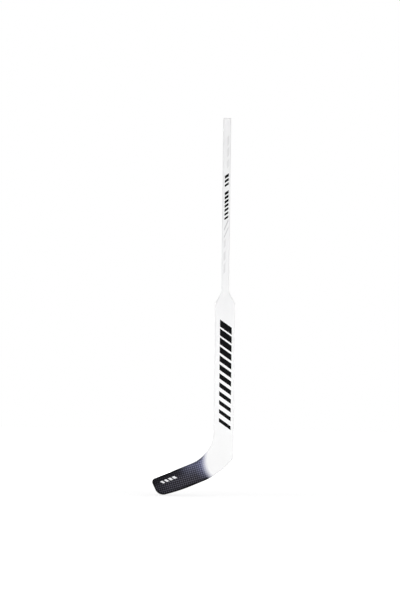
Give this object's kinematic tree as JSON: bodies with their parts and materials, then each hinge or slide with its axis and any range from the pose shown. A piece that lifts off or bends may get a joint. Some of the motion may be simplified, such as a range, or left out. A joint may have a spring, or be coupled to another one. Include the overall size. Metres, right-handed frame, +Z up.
{
  "type": "hockey goalie stick",
  "caption": "Hockey goalie stick with a slim shaft and butt cap, a wide flat paddle with sloping shoulders, and a curved woven blade fading into a white heel, over a wood and foam core.",
  "frame": {"origin": "on the shaft's axis in the middle of the blocker hand's grip, 50 mm above the top of the paddle's shoulders", "axes": "+Z up the shaft to the butt end, -X towards the blade's toe, -Y out of the front face, +Y the way the toe bends"},
  "size_m": [0.3079, 0.0567, 1.4345],
  "materials": {
    "shaft_lacquer": "white lacquer over glass fibre, gloss, with small dark marks",
    "paddle_lacquer": "white lacquer over glass fibre, gloss, with dark slanted bars",
    "butt_cap": "moulded plastic, satin",
    "blade_weave": "plain-weave carbon under clear coat, fading to white at the heel",
    "blade_edging": "black edging, satin, fading to white at the heel",
    "spine_wood": "raw aspen, grain along the shaft",
    "cross_wood": "raw birch, grain across the shaft",
    "stiffening_strip": "glass-fibre strip, smooth",
    "hardwood": "raw ash",
    "face_veneer": "raw birch veneer, grain along the paddle",
    "core_foam": "rigid closed-cell foam",
    "tongue_wood": "bent birch laminate",
    "blade_bridge": "carbon sheet, satin",
    "toe_plastic": "moulded plastic"
  },
  "bodies": {
    "root": {"butt_cap": "butt_cap", "shaft_sleeve": "shaft_lacquer", "spine_front_ply": "spine_wood", "spine_front_cross_ply": "cross_wood", "spine_centre_ply": "spine_wood", "spine_back_cross_ply": "cross_wood", "spine_back_ply": "spine_wood", "spine_front_strip": "stiffening_strip", "spine_back_strip": "stiffening_strip", "paddle_sleeve": "paddle_lacquer", "toe_side_shoulder_block": "hardwood", "heel_side_shoulder_block": "hardwood", "toe_side_paddle_foam": "core_foam", "heel_side_paddle_foam": "core_foam", "toe_side_rail": "hardwood", "heel_side_rail": "hardwood", "paddle_front_veneer": "face_veneer", "paddle_back_veneer": "face_veneer", "heel_block": "hardwood", "blade_tongue": "tongue_wood", "blade_rim": "blade_edging", "blade_front_skin": "blade_weave", "blade_back_skin": "blade_weave", "blade_rib": "blade_bridge", "blade_upper_foam": "core_foam", "blade_lower_foam": "core_foam", "toe_insert": "toe_plastic"}
  },
  "joints": []
}
